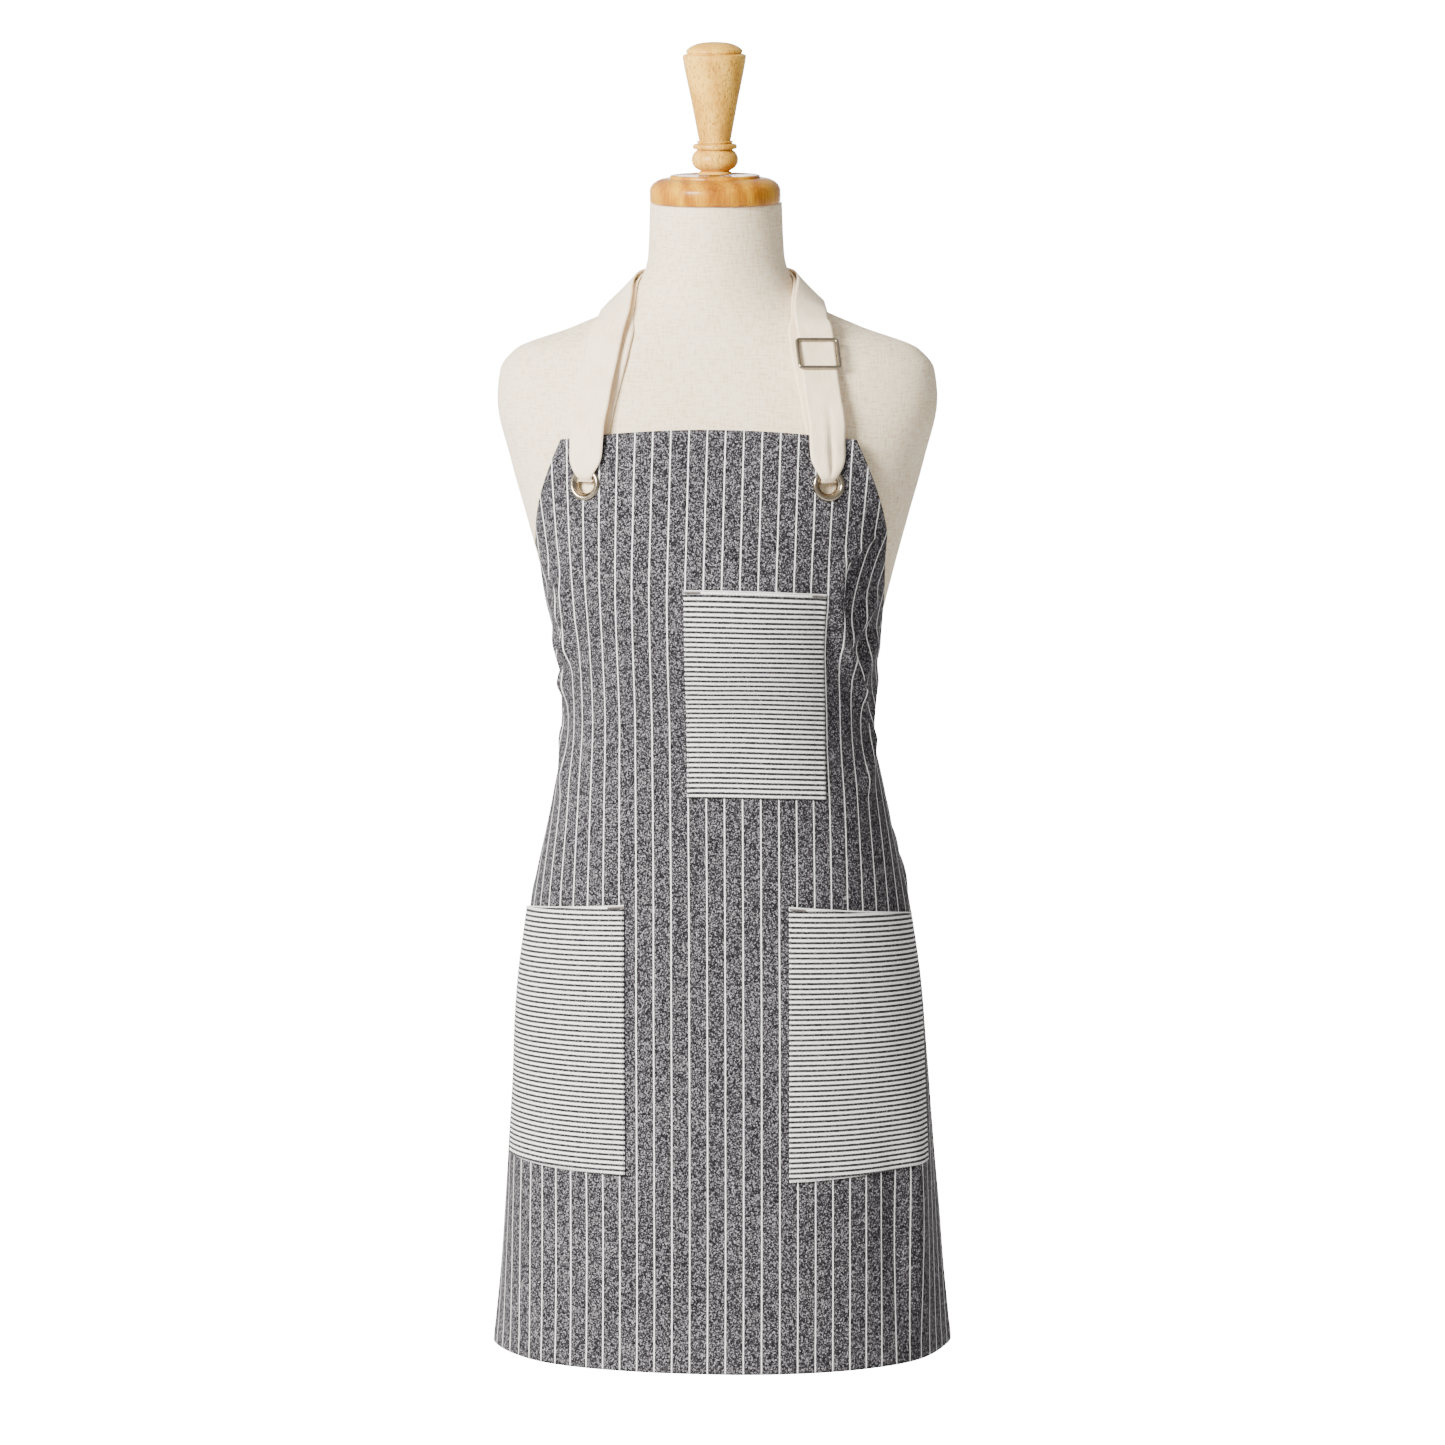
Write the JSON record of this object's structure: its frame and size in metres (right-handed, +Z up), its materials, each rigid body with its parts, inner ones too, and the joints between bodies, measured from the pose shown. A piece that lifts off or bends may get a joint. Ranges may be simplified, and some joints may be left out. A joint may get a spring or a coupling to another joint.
{
  "type": "apron on a headless dress form",
  "caption": "Pinstriped bib apron with ticking pockets, a cream neck strap with a metal slider and tied waist, worn by a linen dress form with a turned wood neck cap and finial.",
  "frame": {"origin": "centre of the pole socket's mouth, under the form", "axes": "+Z up along the pole, -Y towards the wearer's front, +X towards the wearer's left"},
  "size_m": [0.407, 0.294, 1.172],
  "materials": {
    "moulded_shell": "matt moulded shell",
    "linen": "plain-woven off-white linen",
    "plywood": "sanded birch plywood",
    "steel_screws": "zinc-plated steel",
    "amber_wood": "turned wood, amber gloss varnish",
    "pale_wood": "turned pale wood, satin varnish",
    "brass": "machined brass",
    "socket_steel": "black powder coat",
    "pinstripe_cotton": "grey heathered chambray with fine white pinstripes",
    "ticking_cotton": "white and grey ticking",
    "bartack_thread": "dense dark thread",
    "nickel": "warm polished nickel",
    "cream_tape": "cream cotton twill tape",
    "knob_plastic": "black phenolic plastic"
  },
  "bodies": {
    "root": {"torso_shell": "moulded_shell", "linen_cover": "linen", "base_plate": "plywood", "neck_block": "plywood", "base_plate_screws": "steel_screws", "neck_cap_screws": "steel_screws", "neck_cap": "amber_wood", "finial_insert": "brass", "pole_socket": "socket_steel", "socket_flange": "socket_steel", "socket_screws": "steel_screws", "apron_panel": "pinstripe_cotton", "chest_pocket": "ticking_cotton", "hip_pocket_left": "ticking_cotton", "hip_pocket_right": "ticking_cotton", "pocket_bartacks": "bartack_thread", "eyelet_left": "nickel", "eyelet_right": "nickel", "eyelet_washer_left": "nickel", "eyelet_washer_right": "nickel", "neck_strap": "cream_tape", "waist_tie_left": "cream_tape", "waist_tie_right": "cream_tape", "waist_knot": "cream_tape"},
    "strap_slider": {"strap_slider": "nickel"},
    "finial_stud": {"finial_stud": "steel_screws"},
    "finial": {"finial": "pale_wood"},
    "clamp_screw": {"clamp_screw": "steel_screws"},
    "clamp_knob": {"clamp_knob": "knob_plastic"}
  },
  "joints": [
    {"name": "slider_slide", "type": "slide", "parent": "root", "child": "strap_slider", "axis": [-0.1455, 0.5302, 0.8353], "range_m": [-0.0135, 0.011]},
    {"name": "finial_rise", "type": "slide", "parent": "root", "child": "finial_stud", "axis": [0, 0, 1], "range_m": [0, 0.01]},
    {"name": "finial_turn", "type": "hinge", "parent": "finial_stud", "child": "finial", "pos_m": [0, -0.008, 0.903], "axis": [0, 0, 1], "range_deg": [0, 2890]},
    {"name": "clamp_feed", "type": "slide", "parent": "root", "child": "clamp_screw", "axis": [0, -1, 0], "range_m": [-0.003, 0.006]},
    {"name": "clamp_turn", "type": "hinge", "parent": "clamp_screw", "child": "clamp_knob", "pos_m": [0, 0.04, 0.028], "axis": [0, -1, 0], "range_deg": [-874, 1738]}
  ],
  "couplings": [
    {"joint": "finial_turn", "follows": "finial_rise", "rad_per_m": 5026.5},
    {"joint": "clamp_turn", "follows": "clamp_feed", "rad_per_m": 5026.5}
  ]
}
